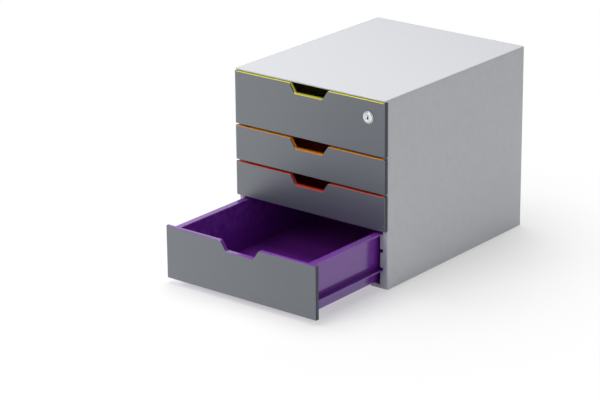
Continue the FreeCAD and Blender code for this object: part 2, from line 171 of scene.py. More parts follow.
tree.links.new(cool_when_mirrored.outputs[2], plain_white.inputs["Color"])
wire(tree, place, "Object", reach, 0)
tree.links.new(reach.outputs["Value"], far_share.inputs["Value"])
tree.links.new(far_share.outputs["Result"], seen.inputs[0])
wire(tree, table_path, "Is Camera Ray", seen, 1)
wire(tree, table_path, "Is Glossy Ray", mirrored, 0)
wire(tree, table_path, "Is Transmission Ray", mirrored, 1)
tree.links.new(mirrored.outputs[0], mirrored_share.inputs[0])
tree.links.new(seen.outputs[0], white_share.inputs[0])
tree.links.new(mirrored_share.outputs[0], white_share.inputs[1])
tree.links.new(white_share.outputs[0], table_mix.inputs[0])
tree.links.new(paint.outputs[0], table_mix.inputs[1])
tree.links.new(plain_white.outputs[0], table_mix.inputs[2])
tree.links.new(table_mix.outputs[0], output.inputs["Surface"])
table_paint.cycles.emission_sampling = "NONE"
table.data.materials.append(table_paint)


# %% Soft boxes
def soft_box(name, place, target, width, height, power, colour=(1, 1, 1)):
    """A rectangular lamp that faces a point."""
    data = bpy.data.lights.new(name, "AREA")
    data.shape = "RECTANGLE"
    data.size = width
    data.size_y = height
    data.energy = power
    data.color = colour
    lamp = bpy.data.objects.new(name, data)
    lamp.location = place
    lamp.rotation_mode = "QUATERNION"
    lamp.rotation_quaternion = (Vector(target) - Vector(place)).to_track_quat("-Z", "Y")
    bpy.context.scene.collection.objects.link(lamp)
    print(name, "power", power, "radiance", round(power / (math.pi * width * height), 2))
    return lamp


soft_box("overhead_box", (-0.7, 0.2, 2.5), (0, 0, 0), 2.4, 2.4, 72)
soft_box("front_left_box", (-0.35, -2.8, 0.55), (0, -0.1, 0.2), 2.4, 0.9, 6)
soft_box("front_box", (-0.6, -2.3, 2.1), (0, -0.1, 0.15), 2.0, 1.4, 30)
soft_box("right_box", (2.8, -0.2, 0.55), (0, 0, 0.2), 2.2, 0.9, 12)
soft_box("rear_box", (-2.13, 3.05, 2.234), (-2.13, -0.3, 2.234), 4.2, 1.8, 14)

# %% [markdown]
# ## Shared effects
# Moulded plastic is never one flat colour. Its skin has a fine eroded grain, the melt leaves slow changes of tone,
# edges get rubbed, hands leave smudges and dust settles on what faces up. Each of these is a node group with named
# inputs, built once, and every material places it with its own values.


# %% Node groups
def new_group(name, inputs, outputs):
    """An empty node group with its named sockets, and its two end nodes."""
    group = bpy.data.node_groups.new(name, "ShaderNodeTree")
    kinds = {"colour": "NodeSocketColor", "number": "NodeSocketFloat", "vector": "NodeSocketVector"}
    for label, kind, value in inputs:
        socket = group.interface.new_socket(name=label, in_out="INPUT", socket_type=kinds[kind])
        socket.default_value = value
    for label, kind in outputs:
        group.interface.new_socket(name=label, in_out="OUTPUT", socket_type=kinds[kind])
    return group, add_node(group, "NodeGroupInput"), add_node(group, "NodeGroupOutput")


def noise_at(tree, place, scale, detail=3.0, rough=0.55):
    """A noise on object coordinates whose features are about one over its scale in metres."""
    texture = add_node(tree, "ShaderNodeTexNoise", {"Detail": detail, "Roughness": rough})
    tree.links.new(place.outputs["Object"], texture.inputs["Vector"])
    if isinstance(scale, (int, float)):
        texture.inputs["Scale"].default_value = scale
    else:
        tree.links.new(scale, texture.inputs["Scale"])
    return texture.outputs["Fac"]


def math_node(tree, operation, first, second=None, clamp=False):
    """A math node fed by sockets or by plain numbers."""
    made = add_node(tree, "ShaderNodeMath", operation=operation, use_clamp=clamp)
    for index, value in enumerate((first, second)):
        if value is None:
            continue
        if isinstance(value, (int, float)):
            made.inputs[index].default_value = value
        else:
            tree.links.new(value, made.inputs[index])
    return made.outputs[0]


def ramp(tree, value, low, high):
    """Zero under the low value, one over the high value, and smooth between."""
    made = add_node(tree, "ShaderNodeMapRange", {"From Min": low, "From Max": high}, interpolation_type="SMOOTHSTEP")
    tree.links.new(value, made.inputs["Value"])
    return made.outputs["Result"]


def mix_colour(tree, factor, first, second):
    made = add_node(tree, "ShaderNodeMix", data_type="RGBA")
    for socket, value in ((made.inputs["Factor"], factor), (made.inputs[6], first), (made.inputs[7], second)):
        if isinstance(value, (int, float, tuple)):
            socket.default_value = value
        else:
            tree.links.new(value, socket)
    return made.outputs[2]


# Eroded skin: slow tone, fine grain and a roughness that wanders
skin_group, given, result = new_group(
    "eroded_skin",
    [("Colour", "colour", (0.5, 0.5, 0.5, 1)), ("Tone Spread", "number", 0.05), ("Grain Scale", "number", 1400),
     ("Grain Height", "number", 0.1), ("Roughness", "number", 0.4), ("Roughness Spread", "number", 0.08)],
    [("Colour", "colour"), ("Roughness", "number"), ("Normal", "vector")])
place = add_node(skin_group, "ShaderNodeTexCoord")
slow = noise_at(skin_group, place, 7.0, 2.0)
patch = noise_at(skin_group, place, 60.0, 4.0)
grain = noise_at(skin_group, place, given.outputs["Grain Scale"], 2.0, 0.7)
centred = math_node(skin_group, "SUBTRACT", math_node(skin_group, "ADD", slow, patch), 1.0)
tone = math_node(skin_group, "ADD", math_node(skin_group, "MULTIPLY", centred, given.outputs["Tone Spread"]), 1.0)
scaled = add_node(skin_group, "ShaderNodeVectorMath", operation="SCALE")
wire(skin_group, given, "Colour", scaled, 0)
skin_group.links.new(tone, scaled.inputs["Scale"])
skin_group.links.new(scaled.outputs[0], result.inputs["Colour"])
wander = math_node(skin_group, "SUBTRACT", math_node(skin_group, "ADD", patch, grain), 1.0)
rough = math_node(skin_group, "ADD", given.outputs["Roughness"],
                  math_node(skin_group, "MULTIPLY", wander, given.outputs["Roughness Spread"]))
skin_group.links.new(rough, result.inputs["Roughness"])
bump = add_node(skin_group, "ShaderNodeBump", {"Distance": 0.00012})
wire(skin_group, given, "Grain Height", bump, "Strength")
skin_group.links.new(grain, bump.inputs["Height"])
wire(skin_group, bump, "Normal", result, "Normal")

# Rubbed edges: a mask from how much the surface bulges, broken up by noise
rub_group, given, result = new_group(
    "rubbed_edges", [("Amount", "number", 0.5), ("Start", "number", 0.57)], [("Mask", "number")])
geometry = add_node(rub_group, "ShaderNodeNewGeometry")
place = add_node(rub_group, "ShaderNodeTexCoord")
bulge = math_node(rub_group, "SUBTRACT", geometry.outputs["Pointiness"], given.outputs["Start"])
edge = math_node(rub_group, "MULTIPLY", bulge, 14.0, clamp=True)
broken = ramp(rub_group, noise_at(rub_group, place, 90.0, 5.0, 0.65), 0.35, 0.62)
rub = math_node(rub_group, "MULTIPLY", math_node(rub_group, "MULTIPLY", edge, broken), given.outputs["Amount"])
rub_group.links.new(rub, result.inputs["Mask"])

# Handled places: smudges round the middle of a front, where fingers pull
hand_group, given, result = new_group(
    "handled_places", [("Amount", "number", 0.5), ("Reach", "number", 0.075)], [("Mask", "number")])
place = add_node(hand_group, "ShaderNodeTexCoord")
axes = add_node(hand_group, "ShaderNodeSeparateXYZ")
wire(hand_group, place, "Object", axes, 0)
side = math_node(hand_group, "DIVIDE", math_node(hand_group, "ABSOLUTE", axes.outputs["X"]), given.outputs["Reach"])
near = math_node(hand_group, "SUBTRACT", 1.0, side, clamp=True)
smear = ramp(hand_group, noise_at(hand_group, place, 48.0, 6.0, 0.6), 0.42, 0.7)
touched = math_node(hand_group, "MULTIPLY", math_node(hand_group, "MULTIPLY", near, smear), given.outputs["Amount"])
hand_group.links.new(touched, result.inputs["Mask"])

# Settled dust: a thin film on what faces up, thicker in patches
dust_group, given, result = new_group(
    "settled_dust", [("Colour", "colour", (0.5, 0.5, 0.5, 1)), ("Dust", "colour", (0.62, 0.61, 0.59, 1)),
                     ("Amount", "number", 0.06)], [("Colour", "colour"), ("Mask", "number")])
place = add_node(dust_group, "ShaderNodeTexCoord")
axes = add_node(dust_group, "ShaderNodeSeparateXYZ")
wire(dust_group, place, "Normal", axes, 0)
facing_up = ramp(dust_group, axes.outputs["Z"], 0.6, 0.98)
drift = ramp(dust_group, noise_at(dust_group, place, 26.0, 6.0, 0.6), 0.25, 0.8)
specks = ramp(dust_group, noise_at(dust_group, place, 900.0, 1.0), 0.66, 0.74)
film = math_node(dust_group, "ADD", drift, math_node(dust_group, "MULTIPLY", specks, 0.8))
dust = math_node(dust_group, "MULTIPLY", math_node(dust_group, "MULTIPLY", facing_up, film),
                 given.outputs["Amount"], clamp=True)
dust_group.links.new(mix_colour(dust_group, dust, given.outputs["Colour"], given.outputs["Dust"]),
                     result.inputs["Colour"])
dust_group.links.new(dust, result.inputs["Mask"])

# Polished face: a mask on what faces the front, where the mould was polished
face_group, given, result = new_group(
    "polished_face", [("Amount", "number", 1.0), ("Fade", "number", 0.25)], [("Mask", "number")])
place = add_node(face_group, "ShaderNodeTexCoord")
axes = add_node(face_group, "ShaderNodeSeparateXYZ")
wire(face_group, place, "Normal", axes, 0)
forward_share = math_node(face_group, "MULTIPLY", axes.outputs["Y"], -1.0)
polished = math_node(face_group, "MULTIPLY", ramp(face_group, forward_share, 0.6, 0.98), given.outputs["Amount"])
width_axes = add_node(face_group, "ShaderNodeSeparateXYZ")
wire(face_group, place, "Object", width_axes, 0)
across_share = ramp(face_group, width_axes.outputs["X"], -0.16, 0.14)
kept = math_node(face_group, "SUBTRACT", 1.0, math_node(face_group, "MULTIPLY", across_share, given.outputs["Fade"]))
face_group.links.new(math_node(face_group, "MULTIPLY", polished, kept), result.inputs["Mask"])
# Painted shade in the lock's recesses: dark inside a bore along the lock's axis, and on the outer wall of its ring
# and a thin line at its step, where shade falls
lock_shade_group, given, result = new_group(
    "recess_painted_shade", [("Axis X", "number", 0.0), ("Axis Z", "number", 0.0), ("Bore", "number", 0.0036),
                     ("Start", "number", 0.0), ("End", "number", 0.01), ("Wall", "number", 0.0092),
                     ("Step", "number", 0.00785)],
    [("Bore Shade", "number"), ("Wall Shade", "number")])
place = add_node(lock_shade_group, "ShaderNodeTexCoord")
axes = add_node(lock_shade_group, "ShaderNodeSeparateXYZ")
wire(lock_shade_group, place, "Object", axes, 0)
off_x = math_node(lock_shade_group, "SUBTRACT", axes.outputs["X"], given.outputs["Axis X"])
off_z = math_node(lock_shade_group, "SUBTRACT", axes.outputs["Z"], given.outputs["Axis Z"])
radius = math_node(lock_shade_group, "SQRT", math_node(
    lock_shade_group, "ADD", math_node(lock_shade_group, "MULTIPLY", off_x, off_x),
    math_node(lock_shade_group, "MULTIPLY", off_z, off_z)))
in_bore = math_node(lock_shade_group, "LESS_THAN", radius, given.outputs["Bore"])
behind = math_node(lock_shade_group, "GREATER_THAN", axes.outputs["Y"], given.outputs["Start"])
before = math_node(lock_shade_group, "LESS_THAN", axes.outputs["Y"], given.outputs["End"])
deep = math_node(lock_shade_group, "MULTIPLY", in_bore, math_node(lock_shade_group, "MULTIPLY", behind, before))
lock_shade_group.links.new(deep, result.inputs["Bore Shade"])
from_step = math_node(lock_shade_group, "ABSOLUTE", math_node(lock_shade_group, "SUBTRACT", radius, given.outputs["Step"]))
at_step = math_node(lock_shade_group, "LESS_THAN", from_step, 0.0003)
on_wall = math_node(lock_shade_group, "GREATER_THAN", radius, given.outputs["Wall"])
lock_shade_group.links.new(math_node(lock_shade_group, "MAXIMUM", on_wall, at_step), result.inputs["Wall Shade"])
print("groups", [g.name for g in bpy.data.node_groups])


# %% [markdown]
# ## Finishes
# The casing is a light grey moulding with a satin skin. The caps are charcoal with a finer, drier grain. The trays
# are glossier and coloured through. The lock is nickel plated, its cam and catch are zinc plated steel, and the
# feet are soft rubber. Paint values are given as a screen shows them and turned into light values here.


# %% Plastic finishes
def linear(red, green, blue):
    """A colour as a screen shows it, from 0 to 255, as a light value."""
    def channel(value):
        share = value / 255
        return share / 12.92 if share <= 0.04045 else ((share + 0.055) / 1.055) ** 2.4
    return (channel(red), channel(green), channel(blue), 1)


def group_node(tree, group, inputs=None):
    made = tree.nodes.new("ShaderNodeGroup")
    made.node_tree = group
    for socket, value in (inputs or {}).items():
        made.inputs[socket].default_value = value
    return made


def moulded_plastic(name, colour, rubbed, skin, rub_amount, hand_amount, dust_amount, ior=1.5, polish=0):
    """Plastic with a grain, rubbed edges, handled places, a little dust and perhaps a polished face."""
    material, tree, output = fresh_material(name)
    surface = group_node(tree, skin_group, dict(skin, Colour=colour))
    edges = group_node(tree, rub_group, {"Amount": rub_amount})
    hands = group_node(tree, hand_group, {"Amount": hand_amount})
    dusty = group_node(tree, dust_group, {"Amount": dust_amount})
    worn = mix_colour(tree, edges.outputs["Mask"], surface.outputs["Colour"], rubbed)
    tree.links.new(worn, dusty.inputs["Colour"])
    smoother = math_node(tree, "MULTIPLY", hands.outputs["Mask"], -0.08)
    duller = math_node(tree, "MULTIPLY", dusty.outputs["Mask"], 0.5)
    roughness = math_node(tree, "ADD", math_node(tree, "ADD", surface.outputs["Roughness"], smoother), duller)
    shader = add_node(tree, "ShaderNodeBsdfPrincipled", {"IOR": ior})
    tree.links.new(dusty.outputs["Colour"], shader.inputs["Base Color"])
    tree.links.new(roughness, shader.inputs["Roughness"])
    wire(tree, surface, "Normal", shader, "Normal")
    if polish:
        face = group_node(tree, face_group, {"Amount": polish})
        wire(tree, face, "Mask", shader, "Coat Weight")
        shader.inputs["Coat IOR"].default_value = FACE_COAT_IOR
        shader.inputs["Coat Roughness"].default_value = FACE_COAT_ROUGHNESS
    tree.links.new(shader.outputs[0], output.inputs["Surface"])
    return material


FACE_COAT_IOR = 2.35
FACE_COAT_ROUGHNESS = 0.4
casing_grey = moulded_plastic(
    "casing_grey_plastic", linear(197, 199, 204), linear(214, 215, 218),
    {"Tone Spread": 0.008, "Grain Scale": 1300, "Grain Height": 0.03, "Roughness": 0.17, "Roughness Spread": 0.01},
    rub_amount=0.2, hand_amount=0.0, dust_amount=0.02)
front_charcoal = moulded_plastic(
    "front_charcoal_plastic", linear(53, 60, 70), linear(88, 93, 101),
    {"Tone Spread": 0.03, "Grain Scale": 1500, "Grain Height": 0.1, "Roughness": 0.5, "Roughness Spread": 0.03},
    rub_amount=0.3, hand_amount=0.3, dust_amount=0.03, ior=1.42, polish=1)

TRAY_PAINTS = {"yellow": (linear(252, 246, 84), linear(250, 247, 140)),
               "orange": (linear(250, 160, 44), linear(250, 184, 96)),
               "red": (linear(226, 74, 52), linear(236, 116, 94)),
               "purple": (linear(112, 38, 152), linear(150, 92, 190))}
tray_plastics = {}
for colour_name, (paint_colour, rubbed_colour) in TRAY_PAINTS.items():
    tray_plastics[colour_name] = moulded_plastic(
        "tray_" + colour_name + "_plastic", paint_colour, rubbed_colour,
        {"Tone Spread": 0.03, "Grain Scale": 1700, "Grain Height": 0.04, "Roughness": 0.18, "Roughness Spread": 0.02},
        rub_amount=0.3, hand_amount=0.15, dust_amount=0.02, ior=1.7)
print("plastics", casing_grey.name, front_charcoal.name, sorted(tray_plastics))


# %% Metal and rubber
def plated_metal(name, colour, stain, roughness, stain_amount, painted_lock_shade=False):
    """Bright plating with faint clouds, fine polishing marks, rubbed edges and perhaps painted shade in the lock's
    recesses.
    """
    material, tree, output = fresh_material(name)
    place = add_node(tree, "ShaderNodeTexCoord")
    stretch = add_node(tree, "ShaderNodeMapping", {"Scale": (1.0, 1.0, 14.0)})
    wire(tree, place, "Object", stretch, "Vector")
    marks = add_node(tree, "ShaderNodeTexNoise", {"Scale": 420.0, "Detail": 3.0})
    wire(tree, stretch, "Vector", marks, "Vector")
    clouds = ramp(tree, noise_at(tree, place, 160.0, 4.0), 0.35, 0.75)
    edges = group_node(tree, rub_group, {"Amount": 0.6})
    stained = mix_colour(tree, math_node(tree, "MULTIPLY", clouds, stain_amount), colour, stain)
    bright = mix_colour(tree, edges.outputs["Mask"], stained, (0.95, 0.94, 0.92, 1))
    if painted_lock_shade:
        # Painted shade: the keyway goes nearly black, and the ring's outer wall and a thin line at its step go grey
        low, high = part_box("lock_plug")
        shade_marks = group_node(tree, lock_shade_group, {
            "Axis X": (low.x + high.x) / 2, "Axis Z": (low.z + high.z) / 2, "Start": low.y + 0.25 * MM,
            "End": low.y + 9.5 * MM})
        bright = mix_colour(tree, shade_marks.outputs["Bore Shade"], bright, linear(26, 25, 24))
        bright = mix_colour(tree, shade_marks.outputs["Wall Shade"], bright, linear(96, 98, 102))
    shader = add_node(tree, "ShaderNodeBsdfPrincipled", {"Metallic": 1.0})
    tree.links.new(bright, shader.inputs["Base Color"])
    spread = math_node(tree, "MULTIPLY", math_node(tree, "ADD", marks.outputs["Fac"], clouds), 0.1)
    tree.links.new(math_node(tree, "ADD", spread, roughness), shader.inputs["Roughness"])
    bump = add_node(tree, "ShaderNodeBump", {"Strength": 0.15, "Distance": 0.00005})
    wire(tree, marks, "Fac", bump, "Height")
    wire(tree, bump, "Normal", shader, "Normal")
    tree.links.new(shader.outputs[0], output.inputs["Surface"])
    return material


# The lock's plating carries painted shade in its keyway and round its ring
lock_nickel = plated_metal("lock_nickel_plate", linear(232, 231, 228), linear(200, 198, 192), 0.15, 0.25, True)
zinc_steel = plated_metal("plated_steel_zinc", linear(186, 190, 196), linear(150, 152, 150), 0.26, 0.6)
foot_rubber = moulded_plastic(
    "foot_rubber_black", linear(38, 38, 40), linear(70, 70, 72),
    {"Tone Spread": 0.15, "Grain Scale": 2200, "Grain Height": 0.4, "Roughness": 0.75, "Roughness Spread": 0.15},
    rub_amount=0.4, hand_amount=0.0, dust_amount=0.1, ior=1.45)

# %% [markdown]
# ## Ways of working
# Every new piece is made as by hand: a primitive at its size and place, then cuts, extrusions and bevels in edit
# mode, then modifiers that are applied. Faces, edges and corners are picked by where they are. Sharp edges get small
# rounds as each part is made, because no moulding has a perfect corner. The rounds are shaded smooth, and every wide
# face is shaded flat, so that a flat wall mirrors the table without a ripple.


# %% Modelling helpers
def use(piece):
    """Selects one object alone and makes it the active one."""
    bpy.ops.object.select_all(action="DESELECT")
    piece.select_set(True)
    bpy.context.view_layer.objects.active = piece


def freeze(piece):
    """Puts the place, turn and scale of an object into its mesh."""
    use(piece)
    bpy.ops.object.transform_apply(location=True, rotation=True, scale=True)
    return piece


def edit(piece):
    use(piece)
    bpy.ops.object.mode_set(mode="EDIT")
    bpy.ops.mesh.select_all(action="DESELECT")


def leave():
    bpy.ops.object.mode_set(mode="OBJECT")


def pick(piece, kind, wanted):
    """In edit mode, selects the corners, edges or faces that pass a test on their place and direction."""
    bpy.context.tool_settings.mesh_select_mode = (kind == "VERT", kind == "EDGE", kind == "FACE")
    shape = bmesh.from_edit_mesh(piece.data)
    shape.select_mode = {kind}
    for group in (shape.verts, shape.edges, shape.faces):
        for part in group:
            part.select = False
    count = 0
    for part in {"VERT": shape.verts, "EDGE": shape.edges, "FACE": shape.faces}[kind]:
        if kind == "VERT":
            chosen = wanted(part.co)
        elif kind == "EDGE":
            a, b = (v.co for v in part.verts)
            chosen = wanted((a + b) / 2, (b - a).normalized())
        else:
            chosen = wanted(part.calc_center_median(), part.normal)
        if chosen:
            part.select_set(True)
            count += 1
    bmesh.update_edit_mesh(piece.data)
    return count


def near_to(value, target, slack=2e-5):
    return abs(value - target) < slack


def box_piece(name, low, high):
    """A block between two corners, to be shaped further."""
    low, high = Vector(low), Vector(high)
    bpy.ops.object.select_all(action="DESELECT")
    bpy.ops.mesh.primitive_cube_add(size=1, location=(low + high) / 2)
    piece = bpy.context.object
    piece.name = name
    piece.scale = high - low
    return freeze(piece)


def sheet_piece(name, low, high, turned_up):
    """A flat sheet between two corners: lying when turned up, and otherwise standing with its face to the front."""
    low, high = Vector(low), Vector(high)
    bpy.ops.object.select_all(action="DESELECT")
    bpy.ops.mesh.primitive_plane_add(size=1, location=(low + high) / 2,
                                     rotation=(0 if turned_up else math.pi / 2, 0, 0))
    piece = bpy.context.object
    piece.name = name
    size = high - low
    piece.scale = (size.x, size.y if turned_up else size.z, 1)
    return freeze(piece)


def slice_mesh(place, direction, **options):
    """Cuts all of the mesh in edit mode with a plane."""
    bpy.ops.mesh.select_all(action="SELECT")
    bpy.ops.mesh.bisect(plane_co=place, plane_no=direction, **options)


def tidy_flats():
    """Takes out the edges that lie in flat faces."""
    bpy.ops.mesh.select_all(action="SELECT")
    bpy.ops.mesh.remove_doubles(threshold=1e-6)
    bpy.ops.mesh.dissolve_limited(angle_limit=math.radians(0.5))


def round_edges(width, segments):
    bpy.ops.mesh.bevel(offset=width, segments=segments, affect="EDGES", clamp_overlap=False)


def round_corners(width, segments):
    bpy.ops.mesh.bevel(offset=width, segments=segments, affect="VERTICES", clamp_overlap=False)


def apply_modifier(piece, kind, **settings):
    use(piece)
    modifier = piece.modifiers.new(kind.lower(), kind)
    for key, value in settings.items():
        setattr(modifier, key, value)
    bpy.ops.object.modifier_apply(modifier=modifier.name)


def thicken(piece, thickness):
    """Gives a sheet its thickness on the side away from its face."""
    apply_modifier(piece, "SOLIDIFY", thickness=thickness, offset=-1)


def combine(piece, other, operation):
    """Joins another closed piece to this one, or cuts it out of this one, and removes the other."""
    apply_modifier(piece, "BOOLEAN", operation=operation, solver="EXACT", object=other)
    bpy.data.objects.remove(other)


def soften(piece, width, segments=2, angle=40):
    """Small rounds on every sharp edge, and smooth shading that keeps the flats flat."""
    use(piece)
    bpy.ops.object.shade_smooth()
    apply_modifier(piece, "BEVEL", width=width, segments=segments, limit_method="ANGLE",
                   angle_limit=math.radians(angle))
    shade(piece)


WIDE_FACE = 1.5 * MM


def shade(piece, angle=35):
    """Smooth rounds next to flats that mirror truly: every wide face keeps its own direction."""
    use(piece)
    bpy.ops.object.shade_smooth_by_angle(angle=math.radians(angle))
    for face in piece.data.polygons:
        corners = [piece.data.vertices[index].co for index in face.vertices]
        around = sum((corners[i] - corners[i - 1]).length for i in range(len(corners)))
        if 2 * face.area / around > WIDE_FACE:
            face.use_smooth = False


def twin(piece, name, shift):
    """A copy with its own mesh, moved by a shift that goes into the mesh."""
    copy = piece.copy()
    copy.data = piece.data.copy()
    copy.name = name
    bpy.context.scene.collection.objects.link(copy)
    copy.location = shift
    return freeze(copy)


def settle(piece, body, slot, material, *nodes):
    """Gives a finished piece its material and its body, and hides the CAD nodes that it stands for. Its slot is not
    used.
    """
    piece.data.materials.clear()
    piece.data.materials.append(material)
    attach(piece, body)
    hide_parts(*nodes)
    low = [min(v.co[i] for v in piece.data.vertices) for i in range(3)]
    high = [max(v.co[i] for v in piece.data.vertices) for i in range(3)]
    print(piece.name, len(piece.data.polygons), "faces", [round(v / MM, 1) for v in low],
          [round(v / MM, 1) for v in high])


# %% [markdown]
# ## Charcoal caps
# Each drawer has a thin charcoal cap clipped over its coloured front wall. On the real one it is a shallow tray of
# plastic 2.2 mm thick with returned sides, and its top edge dips in a finger cut-out with sloping shoulders.
# A flat sheet is the easiest start: the cut-out is sliced and its corners are rounded while the sheet is flat, then
# the sheet gets its thickness and the two side returns are pulled out of its back.

# %% Cap sizes
CAP_SKIN = 2.2 * MM
CAP_RETURN = 3.0 * MM
CAP_CORNER = 1.8 * MM
CUT_TOP_HALF = 36 * MM
CUT_BOTTOM_HALF = 26 * MM
CUT_DEPTH = 15 * MM
CUT_INNER_ROUND = 1.9 * MM
CUT_SHOULDER_ROUND = 1.6 * MM
LOCK_HOLE = 7.6 * MM
LAP = 0.6 * MM
LAP_NARROW = LAP * (CUT_TOP_HALF - CUT_BOTTOM_HALF) / CUT_DEPTH


def cut_finger_notch(piece, edge_z, narrow=0):
    """In edit mode on an upright sheet: removes the finger cut-out under an edge and rounds its corners."""
    run = CUT_TOP_HALF - CUT_BOTTOM_HALF
    top_half = CUT_TOP_HALF - narrow
    low_half = CUT_BOTTOM_HALF - narrow
    floor_z = edge_z - CUT_DEPTH
    for side in (-1, 1):
        slice_mesh((side * top_half, 0, edge_z), (side * CUT_DEPTH, 0, -run))
    slice_mesh((0, 0, floor_z), (0, 0, 1))

    def in_notch(centre, normal):
        half = low_half + run * (centre.z - floor_z) / CUT_DEPTH
        return centre.z > floor_z and abs(centre.x) < half

    pick(piece, "FACE", in_notch)
    bpy.ops.mesh.delete(type="FACE")
    tidy_flats()
    if pick(piece, "VERT", lambda c: near_to(abs(c.x), top_half) and near_to(c.z, edge_z)):
        round_corners(CUT_SHOULDER_ROUND, 4)
    if pick(piece, "VERT", lambda c: near_to(abs(c.x), low_half) and near_to(c.z, floor_z)):
        round_corners(CUT_INNER_ROUND, 5)


def round_hole(piece, x, z, radius, y_low, y_high):
    """Drills a round hole from front to back."""
    bpy.ops.object.select_all(action="DESELECT")
    bpy.ops.mesh.primitive_cylinder_add(vertices=64, radius=radius, depth=y_high - y_low,
                                        location=(x, (y_low + y_high) / 2, z), rotation=(math.pi / 2, 0, 0))
    drill = freeze(bpy.context.object)
    combine(piece, drill, "DIFFERENCE")


# %% Cap for one drawer height
def make_cap(name, low, high):
    """The cap of one drawer, before its edges are softened. Its upper edge leaves room for the coloured lap."""
    cap = sheet_piece(name, (low.x, low.y, low.z), (high.x, low.y, high.z), turned_up=False)
    inner = high.x - CAP_RETURN
    edge_z = high.z - LAP
    edit(cap)
    for side in (-1, 1):
        slice_mesh((side * inner, 0, 0), (1, 0, 0))
    slice_mesh((0, 0, edge_z), (0, 0, 1))
    pick(cap, "FACE", lambda c, n: c.z > edge_z and abs(c.x) < inner)
    bpy.ops.mesh.delete(type="FACE")
    cut_finger_notch(cap, edge_z, LAP_NARROW)
    leave()
    thicken(cap, CAP_SKIN)
    edit(cap)
    for side in (-1, 1):
        slice_mesh((side * inner, 0, 0), (1, 0, 0))
    pick(cap, "FACE", lambda c, n: n.y > 0.9 and abs(c.x) > inner)
    bpy.ops.mesh.extrude_region_move(TRANSFORM_OT_translate={"value": (0, high.y - low.y - CAP_SKIN, 0)})
    tidy_flats()
    pick(cap, "EDGE", lambda c, d: near_to(abs(c.x), high.x) and near_to(c.y, low.y) and abs(d.z) > 0.99)
    round_edges(CAP_CORNER, 5)
    leave()
    return cap


caps = {}
for tall, short_of in (("purple", "yellow"), ("orange", "red")):
    low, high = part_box("front_panel_" + tall)
    caps[tall] = make_cap("grey_cap_" + tall, low, high)
    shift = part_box("front_panel_" + short_of)[0] - low
    caps[short_of] = twin(caps[tall], "grey_cap_" + short_of, shift)

lock_low, lock_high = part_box("lock_plug")
LOCK_X = (lock_low.x + lock_high.x) / 2
LOCK_Z = (lock_low.z + lock_high.z) / 2
front_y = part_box("front_panel_yellow")[0].y
round_hole(caps["yellow"], LOCK_X, LOCK_Z, LOCK_HOLE, front_y - 2 * MM, front_y + 8 * MM)
for drawer, cap in caps.items():
    soften(cap, 0.45 * MM)
    settle(cap, "drawer_" + drawer, "front_charcoal", front_charcoal, "front_panel_" + drawer)

# %% [markdown]
# ## Coloured trays
# A tray is one moulding: a tub that narrows a little towards its floor so that it leaves its mould, a flat rim that
# rides in the box's slots, one more runner a module above the floor, and a thick front wall. The wall laps over the
# upper edge of the cap and over the floor of its cut-out, which gives each drawer its thin line of colour, and a
# rim behind the cut-out gives the fingers a hold. The tub is a block with its top pushed in, and the rims, runners
# and front wall are sheets given a thickness. They are joined once each has its own rounded edges.

# %% Tray sizes
MODULE = 28.35 * MM
TUB_HALF = 121.4 * MM
TUB_WALL = 2.0 * MM
TUB_FLOOR = 2.0 * MM
TUB_LEAN = 0.024
TUB_ROUND = 3.5 * MM
TUB_INNER_ROUND = 1.5 * MM
FRONT_WALL = 4.2 * MM
FRONT_WALL_HALF = 137.0 * MM
RIM_HALF = 130.1 * MM
RIM_THICK = 2.4 * MM
RIM_BACK = 3.0 * MM
RIM_UNDER_TOP = 1.8 * MM
RIM_ROUND = 5.0 * MM
EDGE_ROUND = 0.4 * MM


# %% Tub
def make_tub(name, front, back, bottom, top):
    """The tub: its front side lies inside the front wall."""
    tub = box_piece(name, (-TUB_HALF, front - TUB_WALL, bottom), (TUB_HALF, back, top))
    edit(tub)
    pick(tub, "FACE", lambda c, n: n.z > 0.9)
    bpy.ops.mesh.inset(thickness=TUB_WALL)
    pick(tub, "FACE", lambda c, n: n.z > 0.9 and abs(c.x) < TUB_HALF / 2 and front < c.y < back - TUB_WALL)
    depth = top - bottom - TUB_FLOOR
    bpy.ops.mesh.extrude_region_move(TRANSFORM_OT_translate={"value": (0, 0, -depth)})
    inset = TUB_LEAN * depth
    length = back - front
    inner_share = (1 - inset / (TUB_HALF - TUB_WALL), 1 - inset / (length - TUB_WALL), 1)
    bpy.ops.transform.resize(value=inner_share, center_override=(0, front, 0))
    outer_inset = TUB_LEAN * (top - bottom)
    pick(tub, "VERT", lambda c: near_to(c.z, bottom))
    outer_share = (1 - outer_inset / TUB_HALF, 1 - outer_inset / length, 1)
    bpy.ops.transform.resize(value=outer_share, center_override=(0, front - TUB_WALL, 0))
    floor_z = bottom + TUB_FLOOR

    def outer_edges(c, d):
        under = near_to(c.z, bottom) and c.y > front
        rear = abs(d.z) > 0.9 and c.y > back - 3 * MM and abs(c.x) > TUB_HALF - 3 * MM
        return under or (rear and not near_to(c.z, top) and abs(c.x) > TUB_HALF - outer_inset + 0.1 * MM)

    pick(tub, "EDGE", outer_edges)
    round_edges(TUB_ROUND, 6)

    def inner_edges(c, d):
        on_floor = near_to(c.z, floor_z)
        rear = abs(d.z) > 0.9 and near_to(abs(c.x), TUB_HALF - TUB_WALL - inset / 2, 0.6 * MM) and c.y > back - 6 * MM
        return on_floor or (rear and abs(c.z - (top + floor_z) / 2) < 1 * MM)

    pick(tub, "EDGE", inner_edges)
    round_edges(TUB_INNER_ROUND, 4)
    leave()
    return tub


# %% Rim, runners and stop nibs
NIB_FROM_BACK = 48.9 * MM
NIB_LONG = 4.0 * MM
NIB_WIDE = 4.0 * MM
NIB_HIGH = 1.4 * MM
RUNNER_LEAD = 6.0 * MM


